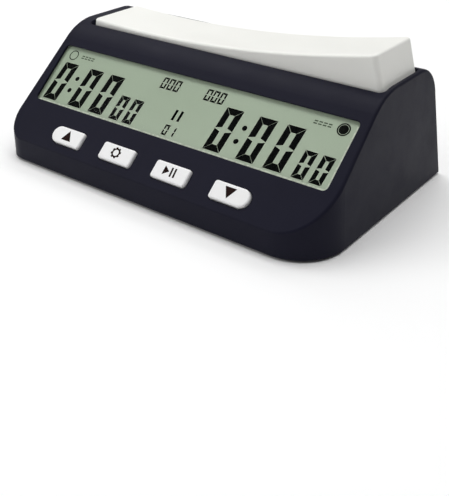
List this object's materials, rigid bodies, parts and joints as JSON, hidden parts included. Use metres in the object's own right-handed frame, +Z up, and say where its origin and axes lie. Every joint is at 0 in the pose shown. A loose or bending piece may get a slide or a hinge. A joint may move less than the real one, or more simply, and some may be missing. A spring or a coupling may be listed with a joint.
{
  "type": "chess clock",
  "caption": "Digital chess clock: dark wedge housing, white tilting bar on top, wide display and a row of keys on the slanted front.",
  "frame": {"origin": "centre of the footprint on the surface that the rubber feet stand on", "axes": "+X along the length, to the right as seen from the display side; +Y to the back; +Z up"},
  "size_m": [0.168, 0.1026, 0.0638],
  "materials": {
    "housing_plastic": "fine matte moulded texture, very dark navy",
    "cover_plastic": "fine matte moulded texture, near black",
    "bar_plastic": "satin white",
    "key_plastic": "satin white",
    "foot_rubber": "matte",
    "clear_window": "clear, thin gloss",
    "lcd_glass": "grey-green display",
    "lcd_back": "matt reflector",
    "frame_plastic": "satin",
    "zebra_rubber": "soft",
    "board": "solder mask",
    "chip_epoxy": "epoxy",
    "component_can": "drawn can",
    "switch_plastic": "moulded",
    "plunger_plastic": "moulded",
    "steel": "ground steel",
    "screw_steel": "zinc plated",
    "contact_metal": "nickel plated",
    "cell_jacket": "printed jacket",
    "foam": "closed-cell foam"
  },
  "bodies": {
    "housing": {"upper_housing": "housing_plastic", "bottom_cover": "cover_plastic", "foot_front_left": "foot_rubber", "foot_front_right": "foot_rubber", "foot_rear_left": "foot_rubber", "foot_rear_right": "foot_rubber", "housing_screws": "screw_steel", "power_switch": "switch_plastic", "battery_cell_front": "cell_jacket", "battery_cell_rear": "cell_jacket", "battery_spring_front": "contact_metal", "battery_spring_rear": "contact_metal", "contact_link": "contact_metal", "contact_positive": "contact_metal", "contact_negative": "contact_metal", "pivot_shaft": "steel", "shaft_clips": "steel", "bar_stop_pads": "foam", "sensor_board": "board", "sensor_switch": "switch_plastic", "sensor_screws": "screw_steel", "display_window": "clear_window", "lcd_front_glass": "lcd_glass", "lcd_rear_glass": "lcd_glass", "lcd_reflector": "lcd_back", "lcd_frame": "frame_plastic", "zebra_strip_lower": "zebra_rubber", "zebra_strip_upper": "zebra_rubber", "main_board": "board", "controller_chip": "chip_epoxy", "quartz_crystal": "component_can", "smoothing_capacitors": "component_can", "buzzer": "switch_plastic", "board_screws": "screw_steel", "up_key_switch": "switch_plastic", "settings_key_switch": "switch_plastic", "play_pause_key_switch": "switch_plastic", "down_key_switch": "switch_plastic"},
    "rocker": {"rocker_bar": "bar_plastic"},
    "sensing_slider": {"sensor_slide": "plunger_plastic"},
    "door": {"battery_door": "cover_plastic"},
    "power_slider": {"power_knob": "key_plastic"},
    "up_key": {"up_keycap": "key_plastic", "up_key_plunger": "plunger_plastic"},
    "settings_key": {"settings_keycap": "key_plastic", "settings_key_plunger": "plunger_plastic"},
    "play_pause_key": {"play_pause_keycap": "key_plastic", "play_pause_key_plunger": "plunger_plastic"},
    "down_key": {"down_keycap": "key_plastic", "down_key_plunger": "plunger_plastic"}
  },
  "joints": [
    {"name": "bar_rock", "type": "hinge", "parent": "housing", "child": "rocker", "pos_m": [0, 0.014, 0.045], "axis": [0, 1, 0], "range_deg": [0, 7.6]},
    {"name": "sensor_slide_travel", "type": "slide", "parent": "housing", "child": "sensing_slider", "axis": [-1, 0, 0], "range_m": [0, 0.00151]},
    {"name": "battery_door_swing", "type": "hinge", "parent": "housing", "child": "door", "pos_m": [0, 0.0315, 0.001], "axis": [1, 0, 0], "range_deg": [0, 75]},
    {"name": "power_switch_travel", "type": "slide", "parent": "housing", "child": "power_slider", "axis": [1, 0, 0], "range_m": [0, 0.003]},
    {"name": "up_key_press", "type": "slide", "parent": "housing", "child": "up_key", "axis": [0, 0.6468, -0.7627], "range_m": [0, 0.0007], "stiffness_N_per_m": 800, "springref_m": -0.0003},
    {"name": "settings_key_press", "type": "slide", "parent": "housing", "child": "settings_key", "axis": [0, 0.6468, -0.7627], "range_m": [0, 0.0007], "stiffness_N_per_m": 800, "springref_m": -0.0003},
    {"name": "play_pause_key_press", "type": "slide", "parent": "housing", "child": "play_pause_key", "axis": [0, 0.6468, -0.7627], "range_m": [0, 0.0007], "stiffness_N_per_m": 800, "springref_m": -0.0003},
    {"name": "down_key_press", "type": "slide", "parent": "housing", "child": "down_key", "axis": [0, 0.6468, -0.7627], "range_m": [0, 0.0007], "stiffness_N_per_m": 800, "springref_m": -0.0003}
  ],
  "couplings": [
    {"joint": "sensor_slide_travel", "follows": "bar_rock", "m_per_rad": 0.011392}
  ]
}
